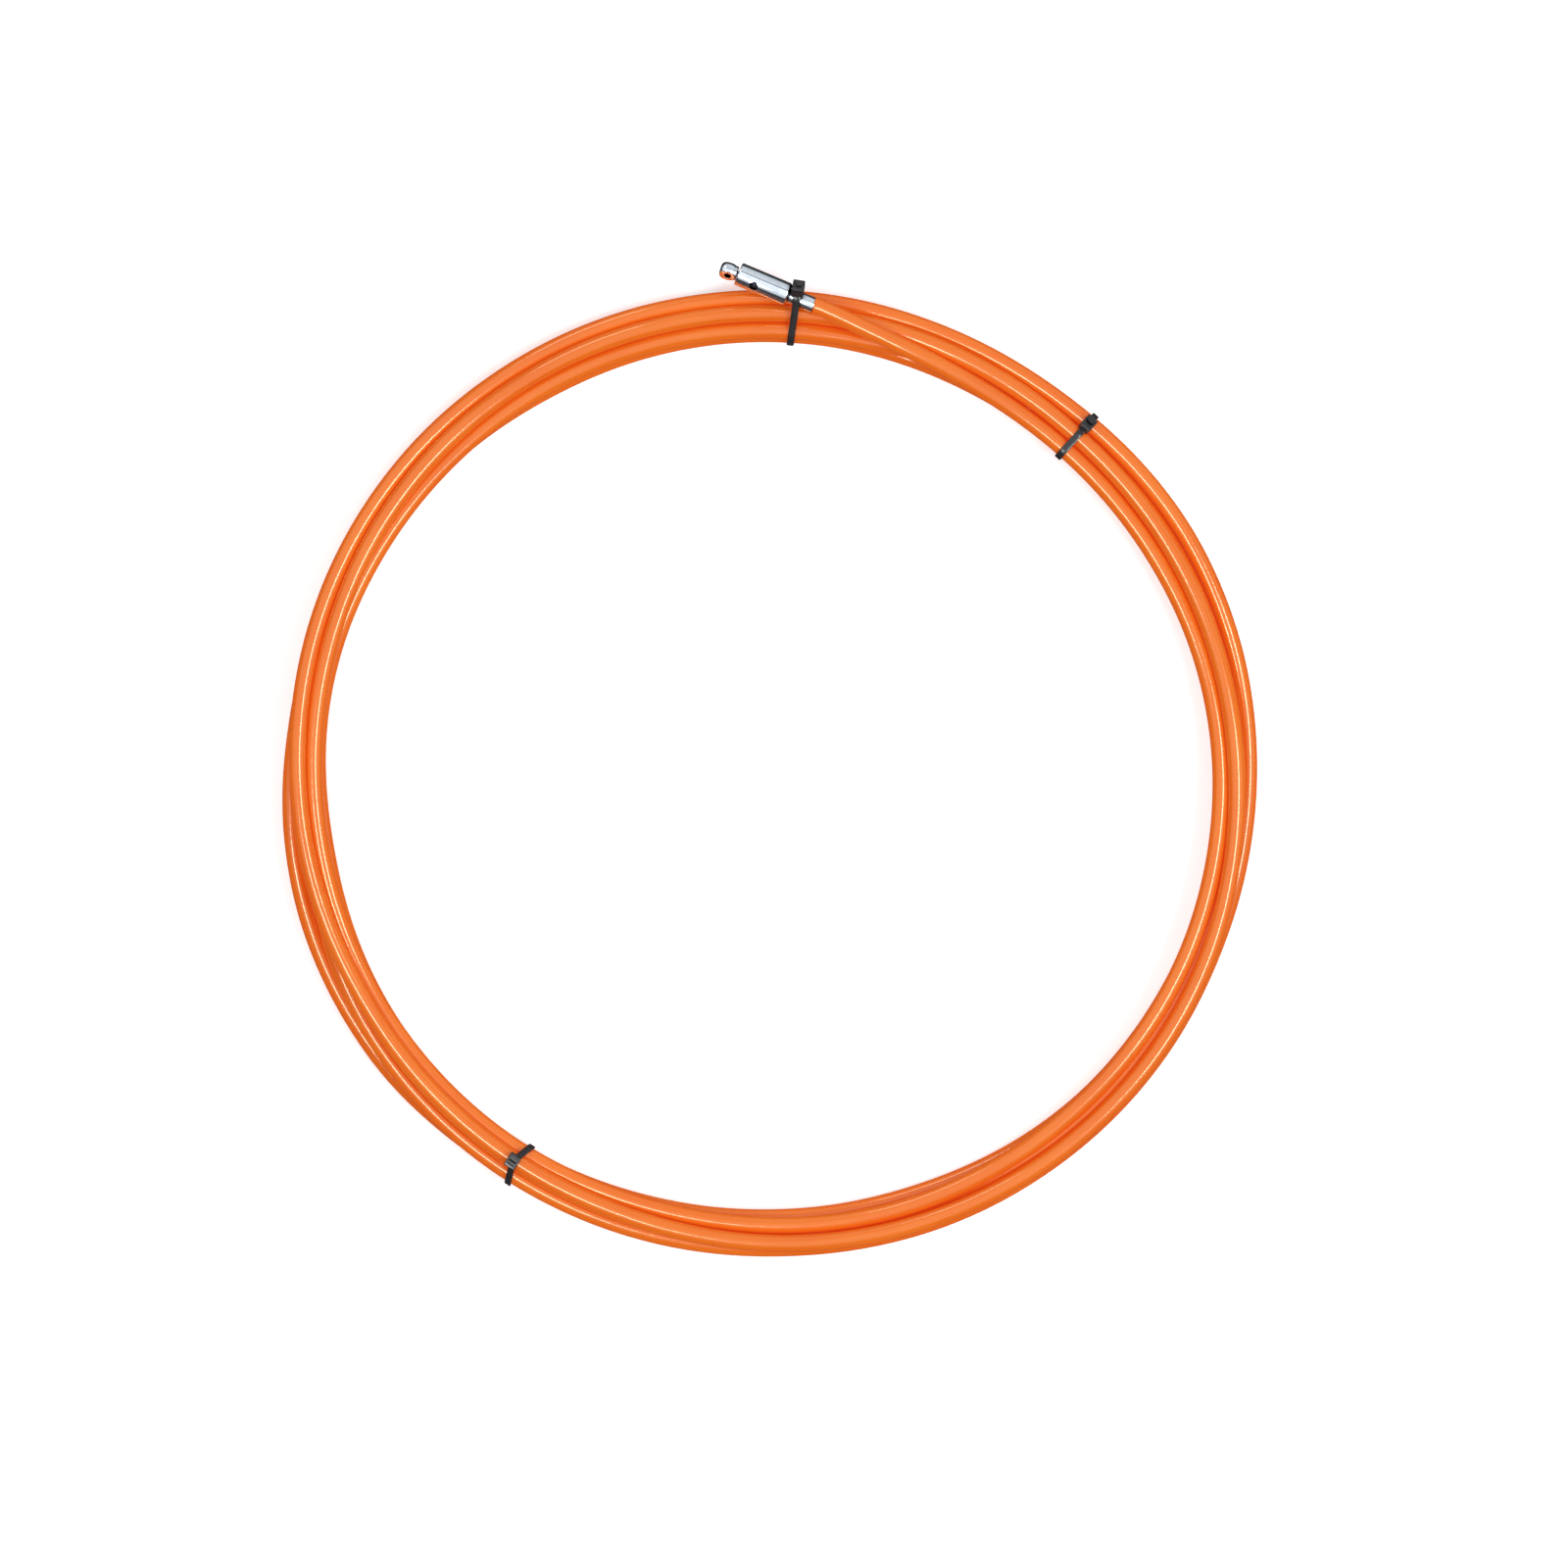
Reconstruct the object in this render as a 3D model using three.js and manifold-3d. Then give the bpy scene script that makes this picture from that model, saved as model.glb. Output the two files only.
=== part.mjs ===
// A five-metre cable-pulling rod, coiled flat and held by three cable ties.
// The rod is a glass-fibre core in a 6 mm orange jacket. One end carries a plated
// pulling head with a swivel eye, the other a plain end cap inside the coil.
// Millimetres, +Z up. Angles round the coil run clockwise from +Y, seen from above.

import * as THREE from 'three';
import { mergeVertices } from 'three/addons/utils/BufferGeometryUtils.js';
import Module from 'manifold-3d';

const wasm = await Module();
wasm.setup();

// Driving dimensions
const ROD_RADIUS = 3;            // jacketed rod
const CORE_RADIUS = 1.85;        // bared glass-fibre core inside the end fittings
const COIL_RADIUS = 161;         // middle of the coil's band
const COIL_BASE = 1.4;           // the coil stands on the straps passing under it
const GAP = 0.3;                 // clearance between neighbouring pieces

const STRAP_WIDTH = 2.5;
const STRAP_THICKNESS = 1.1;
const BOW_STEP = 1.5;            // spacing of the points along a strap that bows
const TIE_HEAD = { width: 4.4, length: 5.4, height: 3.4, lift: 0.05 };
const TIE_TAIL = { offset: 0.6, length: 1.6, past: 0.4 };
const FERRULE_IN_TIE = { offset: 5.9, room: 0.7 };

// Pulling head, measured along its axis back from the front of the eye
const HEAD_LENGTH = 35.1;        // front of the eye to the back of the ferrule
const HEAD_ANGLE = 5.65;         // where the ferrule's back end lies round the coil
const HEAD_OFFSET = 3.4;         // and how far outside the coil's middle radius
const HEAD_HEIGHT = 16.8;
const HEAD_TURN = 22.9;          // degrees between the head's axis and the X axis
const BARREL = { radius: 4.1, front: 6.5, back: 25.6, bore: 2.6, wall: 2.2, chamfer: 0.9, edge: 0.4 };
const CROSS_HOLE = { radius: 1.55, from: 13.1, roll: 30 };
const FERRULE = { radius: 2.75, front: 25.9, bore: 2.15, boreDepth: 8.4 };
const STUD = { radius: 2.3, front: 17.4 };
const EYE = { middle: 3.15, sphere: 3.5, thickness: 4.2, hole: 1.25, roll: 55 };
const NECK = { radius: 2.5, back: 6.2 };
const SHANK = { radius: 1.1, back: 10.9, hole: 1.4 };
const WASHER = { radius: 2.2, front: 9.0, thickness: 0.5 };
const COLLAR = { radius: 2.1, front: 9.8, thickness: 1.0 };

// End cap on the far end of the rod, lying in the bottom layer of the coil
const TAIL = { angle: 350, offset: 4.0, length: 12, depth: 10 };

// Outline of the coiled bundle: [angle, inner edge, outer edge, top].
// The edges are offsets from COIL_RADIUS, and the top is a height.
const BUNDLE = [
  [0, -9.8, 8.6, 14.8],
  [20, -10.2, 7.9, 15.0],
  [42, -10.5, 8.2, 14.8],
  [60, -9.1, 10.3, 15.0],
  [72, -7.8, 10.4, 16.2],
  [90, -6.3, 9.7, 18.4],
  [112, -5.6, 8.8, 17.8],
  [135, -6.4, 8.8, 16.6],
  [160, -9.6, 7.6, 17.4],
  [180, -10.2, 6.3, 17.9],
  [200, -9.0, 6.5, 17.9],
  [213, -7.9, 6.6, 18.2],
  [235, -7.4, 9.0, 19.0],
  [250, -7.7, 9.5, 19.8],
  [265, -7.9, 8.5, 20.0],
  [280, -6.7, 6.8, 19.4],
  [300, -7.2, 8.1, 18.0],
  [320, -8.1, 8.7, 16.8],
  [340, -9.5, 8.7, 15.8],
  [360, -9.8, 8.6, 14.8],
];
const TOP_CORNER = 5;
const BASE_CORNER = 3;

// Cable ties: angle round the coil, skew of the strap's plane, the place of the head on
// the loop, as a direction from the middle of the bundle, and how steeply the strap
// bows back along the coil on each side of the head
const TIES = [
  { angle: 3.35, skew: 5, headAt: 48, bow: 0 },
  { angle: 42.3, skew: 0, headAt: 36, bow: 0 },
  { angle: 213.5, skew: 0, headAt: 90, bow: 0.35 },
];

// Route of the rod from the head down into the coil: [angle, offset, height]
const LEAD = [
  [6.0, 3.3, 16.8],
  [8.0, 1.4, 16.9],
  [10.5, -0.7, 17.1],
  [13.5, -2.7, 17.1],
  [17.0, -4.4, 16.8],
  [21.0, -5.8, 16.0],
  [25.5, -6.8, 14.8],
  [30.0, -7.3, 13.5],
  [34.0, -7.5, 12.6],
];

const jacket = new THREE.MeshStandardMaterial({ color: 0xf3661c, roughness: 0.28, metalness: 0 });
const fibre = new THREE.MeshStandardMaterial({ color: 0xd9cf9a, roughness: 0.6, metalness: 0 });
const plated = new THREE.MeshStandardMaterial({ color: 0xd4d8dc, roughness: 0.16, metalness: 1 });
const steel = new THREE.MeshStandardMaterial({ color: 0xa8abae, roughness: 0.35, metalness: 1 });
const nylon = new THREE.MeshStandardMaterial({ color: 0x15161a, roughness: 0.42, metalness: 0 });

const radians = THREE.MathUtils.degToRad;

function aroundCoil(angle, offset, height) {
  const radius = COIL_RADIUS + offset;
  const turn = radians(angle);
  return new THREE.Vector3(radius * Math.sin(turn), radius * Math.cos(turn), height);
}

// Solid modelling helpers
function toSolid(geometry) {
  const bare = geometry.clone();
  bare.deleteAttribute('normal');
  bare.deleteAttribute('uv');
  const merged = mergeVertices(bare, 1e-4);
  return new wasm.Manifold(new wasm.Mesh({
    numProp: 3,
    vertProperties: new Float32Array(merged.attributes.position.array),
    triVerts: new Uint32Array(merged.index.array),
  }));
}

function toGeometry(solid) {
  const mesh = solid.getMesh();
  const geometry = new THREE.BufferGeometry();
  geometry.setAttribute('position', new THREE.BufferAttribute(mesh.vertProperties.slice(), 3));
  geometry.setIndex(new THREE.BufferAttribute(mesh.triVerts.slice(), 1));
  geometry.computeVertexNormals();
  return geometry;
}

function named(name, geometry, material) {
  const mesh = new THREE.Mesh(geometry, material);
  mesh.name = name;
  return mesh;
}

// A turned piece whose profile is given as [radius, distance back from the eye's front].
// The lathe's axis is Y, and +Y points out of the head's front.
function turned(profile, segments) {
  const points = profile.map(([radius, back]) => new THREE.Vector2(radius, HEAD_LENGTH - back));
  return new THREE.LatheGeometry(points.reverse(), segments);
}

// A round bar across the head's axis, leaning by roll degrees from straight up
function crossBar(radius, length, back, roll) {
  const bar = new THREE.CylinderGeometry(radius, radius, length, 24);
  bar.rotateX(Math.PI / 2);
  bar.rotateY(-radians(roll));
  bar.translate(0, HEAD_LENGTH - back, 0);
  return bar;
}

// Coil: a lathe-turned ring whose sides and top follow the bundle's outline
function bundleAt(angle) {
  const turn = ((angle % 360) + 360) % 360;
  const next = BUNDLE.findIndex((row) => row[0] > turn);
  const before = BUNDLE[next - 1];
  const after = BUNDLE[next];
  const share = (turn - before[0]) / (after[0] - before[0]);
  const eased = share * share * (3 - 2 * share);
  const [inner, outer, top] = [1, 2, 3].map((i) => before[i] + (after[i] - before[i]) * eased);
  return { inner, outer, top };
}

function bundleCorners({ inner, outer, top }) {
  return [
    { x: inner + BASE_CORNER, y: COIL_BASE + BASE_CORNER, radius: BASE_CORNER },
    { x: outer - BASE_CORNER, y: COIL_BASE + BASE_CORNER, radius: BASE_CORNER },
    { x: outer - TOP_CORNER, y: top - TOP_CORNER, radius: TOP_CORNER },
    { x: inner + TOP_CORNER, y: top - TOP_CORNER, radius: TOP_CORNER },
  ];
}

function coilGeometry() {
  const corners = bundleCorners(bundleAt(0));
  const steps = 4;
  const profile = [];
  corners.forEach((corner, quarter) => {
    const start = Math.PI + quarter * Math.PI / 2;
    for (let i = 0; i <= steps; i += 1) {
      const turn = start + (i / steps) * Math.PI / 2;
      const x = corner.x + corner.radius * Math.cos(turn);
      const y = corner.y + corner.radius * Math.sin(turn);
      profile.push(new THREE.Vector2(COIL_RADIUS + x, y));
    }
  });
  profile.push(profile[0].clone());
  const ring = new THREE.LatheGeometry(profile, 96);
  ring.rotateX(Math.PI / 2);
  const base = bundleAt(0);
  const middle = COIL_RADIUS + (base.inner + base.outer) / 2;
  const waist = (COIL_BASE + base.top) / 2;
  const place = ring.attributes.position;
  for (let i = 0; i < place.count; i += 1) {
    const x = place.getX(i);
    const y = place.getY(i);
    const radius = Math.hypot(x, y);
    const here = bundleAt(THREE.MathUtils.radToDeg(Math.atan2(x, y)));
    const side = radius > middle ? here.outer - base.outer : here.inner - base.inner;
    const lift = place.getZ(i) > waist ? here.top - base.top : 0;
    place.setXYZ(i, x * (radius + side) / radius, y * (radius + side) / radius, place.getZ(i) + lift);
  }
  return ring;
}

function leadGeometry(radius, overrun) {
  const points = LEAD.map(([angle, offset, height]) => aroundCoil(angle, offset, height));
  if (overrun > 0) {
    const last = points[points.length - 1];
    const before = points[points.length - 2];
    points.push(last.clone().add(last.clone().sub(before).setLength(overrun)));
  }
  const section = new THREE.Shape();
  section.absarc(0, 0, radius, 0, 2 * Math.PI);
  const path = new THREE.CatmullRomCurve3(points);
  return new THREE.ExtrudeGeometry(section, {
    steps: 14,
    curveSegments: 6,
    bevelEnabled: false,
    extrudePath: path,
  });
}

// Pulling head, in a group whose +Y axis points out of its front
function headGroup() {
  const group = new THREE.Group();
  group.position.copy(aroundCoil(HEAD_ANGLE, HEAD_OFFSET, HEAD_HEIGHT));
  group.rotation.z = radians(90 - HEAD_TURN);
  return group;
}

function eyeGeometry() {
  const middle = HEAD_LENGTH - EYE.middle;
  const ball = new THREE.SphereGeometry(EYE.sphere, 24, 16);
  ball.translate(0, middle, 0);
  const slab = new THREE.BoxGeometry(4 * EYE.sphere, 4 * EYE.sphere, EYE.thickness);
  slab.rotateY(-radians(EYE.roll));
  slab.translate(0, middle, 0);
  const neck = turned([[0, EYE.middle], [NECK.radius - 0.3, EYE.middle], [NECK.radius, EYE.middle + 0.5],
    [NECK.radius, NECK.back - 0.4], [NECK.radius - 0.4, NECK.back], [SHANK.radius, NECK.back],
    [SHANK.radius, SHANK.back], [0, SHANK.back]], 24);
  const front = new THREE.BoxGeometry(20, 20, 20);
  front.translate(0, HEAD_LENGTH + 10, 0);
  const hole = toSolid(crossBar(EYE.hole, 12, EYE.middle, EYE.roll));
  const eye = toSolid(ball).intersect(toSolid(slab)).add(toSolid(neck));
  return toGeometry(eye.subtract(hole).subtract(toSolid(front)));
}

function barrelGeometry() {
  const { radius, front, back, bore, wall, chamfer, edge } = BARREL;
  const body = turned([[SHANK.hole, front], [radius - edge, front], [radius, front + edge],
    [radius, back - chamfer], [radius - chamfer, back], [bore, back], [bore, front + wall],
    [SHANK.hole, front + wall], [SHANK.hole, front]], 32);
  const hole = crossBar(CROSS_HOLE.radius, 12, CROSS_HOLE.from, CROSS_HOLE.roll);
  return toGeometry(toSolid(body).subtract(toSolid(hole)));
}

function ferruleGeometry() {
  const { radius, front, bore, boreDepth } = FERRULE;
  return turned([[0, STUD.front], [STUD.radius - 0.4, STUD.front], [STUD.radius, STUD.front + 0.4],
    [STUD.radius, front], [radius - 0.2, front], [radius, front + 0.2],
    [radius, HEAD_LENGTH - 0.3], [radius - 0.3, HEAD_LENGTH], [bore, HEAD_LENGTH],
    [bore, HEAD_LENGTH - boreDepth], [0, HEAD_LENGTH - boreDepth]], 28);
}

function discGeometry({ radius, front, thickness }) {
  return turned([[SHANK.hole, front], [radius, front], [radius, front + thickness],
    [SHANK.hole, front + thickness], [SHANK.hole, front]], 24);
}

function coreTipGeometry() {
  const front = HEAD_LENGTH - FERRULE.boreDepth + GAP;
  return turned([[0, front], [CORE_RADIUS, front], [CORE_RADIUS, HEAD_LENGTH], [0, HEAD_LENGTH]], 16);
}

// Outer shape of the head grown by the gap, used to clear a bed in the coil
function headClearance() {
  const { radius, front, back } = BARREL;
  return turned([[0, front], [radius + GAP, front], [radius + GAP, back + GAP],
    [FERRULE.radius + GAP, back + GAP], [FERRULE.radius + GAP, HEAD_LENGTH + 2], [0, HEAD_LENGTH + 2]], 32);
}

// End cap, in a group whose +Y axis points clockwise round the coil
function tailGroup() {
  const group = new THREE.Group();
  group.position.copy(aroundCoil(TAIL.angle, TAIL.offset, COIL_BASE + ROD_RADIUS));
  group.rotation.z = -radians(TAIL.angle + 90);
  return group;
}

function lathed(profile, segments) {
  const outline = profile.map(([radius, along]) => new THREE.Vector2(radius, along));
  return new THREE.LatheGeometry(outline, segments);
}

function tailCapGeometry() {
  const { length, depth } = TAIL;
  const bore = CORE_RADIUS + GAP;
  const outside = ROD_RADIUS - 0.1;
  return lathed([[0, depth], [bore, depth], [bore, 0], [outside - 0.2, 0], [outside, 0.2],
    [outside, length - 0.8], [outside - 0.8, length], [0, length]], 24);
}

function tailCoreGeometry() {
  const end = TAIL.depth - GAP;
  return lathed([[0, 0], [CORE_RADIUS, 0], [CORE_RADIUS, end], [0, end]], 16);
}

function tailClearance() {
  const radius = ROD_RADIUS + GAP;
  return lathed([[0, -GAP], [radius, -GAP], [radius, TAIL.length + GAP], [0, TAIL.length + GAP]], 24);
}

// Cable tie: a strap round the bundle, its head and the cut tail
function hullOfCircles(circles, grow) {
  const points = [];
  circles.forEach((circle) => {
    for (let i = 0; i < 20; i += 1) {
      const turn = (i / 20) * 2 * Math.PI;
      const reach = circle.radius + grow;
      points.push({ x: circle.x + reach * Math.cos(turn), y: circle.y + reach * Math.sin(turn) });
    }
  });
  points.sort((a, b) => a.x - b.x || a.y - b.y);
  const cross = (o, a, b) => (a.x - o.x) * (b.y - o.y) - (a.y - o.y) * (b.x - o.x);
  const chain = (list) => {
    const kept = [];
    list.forEach((point) => {
      while (kept.length > 1 && cross(kept[kept.length - 2], kept[kept.length - 1], point) <= 1e-4) {
        kept.pop();
      }
      kept.push(point);
    });
    kept.pop();
    return kept;
  };
  const outline = [...chain(points), ...chain([...points].reverse())];
  return outline.map((point) => new THREE.Vector2(point.x, point.y));
}

function reachAlong(outline, origin, direction) {
  let best = { reach: 0, normal: direction };
  outline.forEach((start, i) => {
    const end = outline[(i + 1) % outline.length];
    const edge = end.clone().sub(start);
    const across = direction.x * edge.y - direction.y * edge.x;
    const offset = start.clone().sub(origin);
    const reach = (offset.x * edge.y - offset.y * edge.x) / across;
    const along = (offset.x * direction.y - offset.y * direction.x) / across;
    if (reach > 0 && along >= 0 && along <= 1) {
      best = { reach, normal: new THREE.Vector2(edge.y, -edge.x).normalize() };
    }
  });
  return best;
}

// The same closed outline with no two points further apart than the step
function withSteps(points, step) {
  return points.flatMap((point, i) => {
    const next = points[(i + 1) % points.length];
    const count = Math.max(1, Math.ceil(point.distanceTo(next) / step));
    return Array.from({ length: count }, (_, j) => point.clone().lerp(next, j / count));
  });
}

function tieGeometry(tie, circles) {
  const step = tie.bow ? BOW_STEP : Infinity;
  const inside = withSteps(hullOfCircles(circles, GAP), step);
  const outside = withSteps(hullOfCircles(circles, GAP + STRAP_THICKNESS), step);
  const loop = new THREE.Shape(outside);
  loop.holes.push(new THREE.Path(inside));
  const strap = new THREE.ExtrudeGeometry(loop, { depth: STRAP_WIDTH, bevelEnabled: false });
  strap.translate(0, 0, -STRAP_WIDTH / 2);

  const total = inside.reduce((sum, point) => sum.add(point), new THREE.Vector2());
  const middle = total.divideScalar(inside.length);
  const direction = new THREE.Vector2(Math.cos(radians(tie.headAt)), Math.sin(radians(tie.headAt)));
  const { reach, normal } = reachAlong(inside, middle, direction);
  const seat = middle.clone().add(direction.multiplyScalar(reach));
  const places = strap.attributes.position;
  for (let i = 0; i < places.count; i += 1) {
    places.setZ(i, places.getZ(i) - tie.bow * Math.abs(places.getX(i) - seat.x));
  }
  const lean = Math.atan2(normal.y, normal.x) - Math.PI / 2;
  const { width, length, height, lift } = TIE_HEAD;
  const head = new THREE.BoxGeometry(length, height, width);
  head.translate(0, height / 2 + lift, 0);
  const cutTail = new THREE.BoxGeometry(STRAP_THICKNESS, TIE_TAIL.length, STRAP_WIDTH);
  cutTail.translate(TIE_TAIL.offset, height + TIE_TAIL.past, 0);
  const parts = [head, cutTail].map((geometry) => {
    geometry.rotateZ(lean);
    geometry.translate(seat.x, seat.y, 0);
    return toSolid(geometry);
  });
  return toGeometry(toSolid(strap).add(parts[0]).add(parts[1]));
}

// The tie's group: X outward from the coil's centre, Y up, Z along the coil
function tieGroup(tie) {
  const group = new THREE.Group();
  const turn = radians(tie.angle + tie.skew);
  const outward = new THREE.Vector3(Math.sin(turn), Math.cos(turn), 0);
  const up = new THREE.Vector3(0, 0, 1);
  const along = outward.clone().cross(up);
  group.quaternion.setFromRotationMatrix(new THREE.Matrix4().makeBasis(outward, up, along));
  group.position.copy(aroundCoil(tie.angle, 0, 0));
  return group;
}

// Assembly
const model = new THREE.Group();

const head = headGroup();
head.updateMatrix();
const tail = tailGroup();
tail.updateMatrix();
const bed = headClearance();
bed.applyMatrix4(head.matrix);
const pocket = tailClearance();
pocket.applyMatrix4(tail.matrix);
const channel = leadGeometry(ROD_RADIUS + GAP, 2);
const coil = [bed, pocket, channel].reduce(
  (solid, cutter) => solid.subtract(toSolid(cutter)),
  toSolid(coilGeometry()),
);
model.add(named('rod_coil', toGeometry(coil), jacket));
model.add(named('rod_lead', leadGeometry(ROD_RADIUS, 0), jacket));

head.add(named('rod_core_head_end', coreTipGeometry(), fibre));
head.add(named('crimp_ferrule', ferruleGeometry(), plated));
head.add(named('coupling_barrel', barrelGeometry(), plated));
head.add(named('swivel_eye', eyeGeometry(), plated));
head.add(named('thrust_washer', discGeometry(WASHER), steel));
head.add(named('retaining_collar', discGeometry(COLLAR), steel));
model.add(head);

tail.add(named('end_cap', tailCapGeometry(), plated));
tail.add(named('rod_core_far_end', tailCoreGeometry(), fibre));
model.add(tail);

TIES.forEach((tie, i) => {
  const circles = bundleCorners(bundleAt(tie.angle));
  if (i === 0) {
    circles.push({
      x: FERRULE_IN_TIE.offset,
      y: HEAD_HEIGHT,
      radius: FERRULE.radius + FERRULE_IN_TIE.room,
    });
  }
  const group = tieGroup(tie);
  group.add(named(`cable_tie_${i + 1}`, tieGeometry(tie, circles), nylon));
  model.add(group);
});

// The origin is the middle of the underside
model.updateMatrixWorld(true);
const box = new THREE.Box3().setFromObject(model, true);
const centre = box.getCenter(new THREE.Vector3());
model.position.set(-centre.x, -centre.y, -box.min.z);

const part = new THREE.Group();
part.add(model);

export default part;
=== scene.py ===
"""A five-metre cable-pulling rod, coiled flat and held by three cable ties, on a pale floor.

Metres, +Z up, in the part's frame. Angles round the coil run clockwise from +Y, seen from above.
"""

import math

import bmesh
import bpy
import numpy as np
from mathutils import Matrix, Vector


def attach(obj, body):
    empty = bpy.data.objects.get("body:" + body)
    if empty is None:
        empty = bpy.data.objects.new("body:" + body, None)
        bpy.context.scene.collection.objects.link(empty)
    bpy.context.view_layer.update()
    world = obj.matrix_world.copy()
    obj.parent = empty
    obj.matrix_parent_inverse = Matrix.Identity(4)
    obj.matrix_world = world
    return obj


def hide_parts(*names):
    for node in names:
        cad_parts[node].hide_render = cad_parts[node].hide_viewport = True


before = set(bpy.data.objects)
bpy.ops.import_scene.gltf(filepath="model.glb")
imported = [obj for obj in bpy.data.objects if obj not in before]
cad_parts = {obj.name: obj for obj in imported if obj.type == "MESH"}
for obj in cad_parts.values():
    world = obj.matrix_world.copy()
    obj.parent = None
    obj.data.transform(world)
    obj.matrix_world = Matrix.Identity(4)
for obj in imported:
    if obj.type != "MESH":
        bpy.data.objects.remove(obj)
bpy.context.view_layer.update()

MM = 0.001
ROD_DIAMETER = 6 * MM
COIL_RADIUS = 161 * MM        # middle of the coil's band
LOWEST = 4.4 * MM             # height of the rod's centreline where it lies on the straps
FERRULE_RADIUS = 2.75 * MM

# Middle of the ring in the part's frame, and the pulling head's axis
COIL_CENTRE = Vector((-0.798 * MM, -6.068 * MM, 0))
HEAD_AXIS = Vector((-0.9211854, 0.3891240, 0)).normalized()
FERRULE_END = Vector((15.387 * MM, 157.533 * MM, 16.8 * MM))
HEAD_LENGTH = 35.1 * MM

# ---------------------------------------------------------------- camera

CAMERA_HEIGHT = 6
CAMERA_SHIFT = (5.74 * MM, -1.83 * MM)
FOCUS_HEIGHT = 12 * MM        # the view's width is measured at this height
VIEW_WIDTH = 545.5 * MM
SENSOR = 36

camera = bpy.data.objects.new("camera", bpy.data.cameras.new("camera"))
bpy.context.scene.collection.objects.link(camera)
camera.location = COIL_CENTRE + Vector((*CAMERA_SHIFT, CAMERA_HEIGHT))
camera.data.sensor_width = SENSOR
camera.data.lens = SENSOR * (CAMERA_HEIGHT - FOCUS_HEIGHT) / VIEW_WIDTH
camera.data.clip_start = 0.01
camera.data.clip_end = 50
bpy.context.scene.camera = camera

# ---------------------------------------------------------------- lay of the rod

# Each turn as [angle, offset from COIL_RADIUS, height above the lowest layer], in millimetres
TURNS = [
    [(6, 3.3, 12.4), (8, 1.4, 12.5), (10.5, -0.7, 12.7), (13.5, -2.7, 12.7), (17, -4.4, 12.4),
     (21, -5.8, 11.6), (25.5, -6.8, 10.4), (30, -7.3, 9.1), (34, -7.5, 8.2), (42, -7.4, 6.6),
     (50, -6.9, 6), (60, -6.1, 6), (75, -4.3, 7.0), (90, -3.1, 9.0), (112, -2.5, 10),
     (125, -2.8, 9.4), (135, -3.3, 8.8), (150, -3.5, 8), (165, -3.6, 7.6), (180, -4.7, 6.8),
     (190, -5.5, 6.2), (200, -5.6, 6), (213, -4.8, 6), (240, -4.2, 6.6), (250, -3.9, 7.8),
     (262, -3.6, 9.4), (270, -3.0, 10), (280, -2.4, 10.2), (290, -1.7, 10), (300, -0.8, 9),
     (315, 0.1, 7.6), (335, 0.5, 6.6), (350, 0.2, 6.4)],
    [(0, -0.1, 6.2), (10, -0.3, 6.0), (20, -0.8, 5.8), (42, -1.2, 5.8), (60, 0.0, 6.5),
     (75, 1.1, 8.6), (90, 2.0, 10.4), (100, 3.1, 10.4), (112, 4.5, 10), (125, 5.0, 9),
     (135, 4.7, 8.6), (150, 3.9, 8.8), (165, 2.8, 9.6), (180, 1.4, 9.6), (190, 0.2, 9.8),
     (200, -0.8, 10.2), (213, -1.0, 10.6), (240, -0.8, 11.4), (250, 0.2, 12), (262, 1.6, 12.4),
     (270, 2.3, 12.2), (280, 3.3, 11.6), (290, 4.3, 10), (300, 5.0, 8.4), (315, 5.6, 6.6),
     (335, 5.5, 5.4), (350, 5.2, 5.2)],
    [(0, 5.3, 4.4), (6, 5.2, 4.2), (20, 4.5, 4.2), (35, 4.4, 4.2), (42, 4.9, 4.2), (50, 6.1, 4),
     (60, 7.3, 3.6), (75, 7.3, 2.4), (90, 6.5, 1), (112, 5.5, 0.4), (125, 5.9, 0.4),
     (135, 5.7, 0.6), (150, 5.0, 1.4), (165, 3.9, 3.6), (178, 3.1, 4.4), (200, 3.4, 5),
     (225, 3.7, 5.8), (245, 3.4, 5.2), (262, 1.2, 1.6), (280, -0.9, 0), (300, -3.5, 0),
     (330, -6.4, 0)],
    [(0, -6.8, 0), (30, -7.0, 0), (45, -6.4, 0), (60, -4.9, 0), (90, -2.7, 0), (112, -2.1, 0),
     (135, -3.2, 0), (145, -4.5, 0), (157, -6.2, 0), (165, -6.8, 0), (180, -7.2, 0),
     (195, -6.4, 0), (205, -5.3, 0), (213, -4.2, 0), (245, -3.2, 0), (262, -2.9, 2),
     (275, -2.4, 4.2), (285, -2.8, 4.6), (300, -4.1, 5), (315, -4.7, 5.6), (330, -5.0, 5.8),
     (345, -5.4, 6)],
    [(0, -5.7, 5.8), (15, -5.1, 5.2), (30, -2.2, 2.6), (42, 0.2, 1.6), (50, 1.2, 1.6),
     (65, 1.4, 2), (90, 1.2, 5.0), (112, 1.1, 5.4), (135, 0.8, 4.6), (160, -0.2, 2),
     (180, 0.2, 0.4), (200, 1.6, 0), (213, 3.0, 0), (224, 4.5, 0), (232, 5.9, 0),
     (245, 6.3, 0.8), (255, 5.9, 4.6), (265, 5.4, 6), (278, 3.3, 5.6), (290, 3.8, 4.4),
     (310, 4.2, 1.6), (330, 4.0, 0.2), (350, 4.0, 0)],
]
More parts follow.
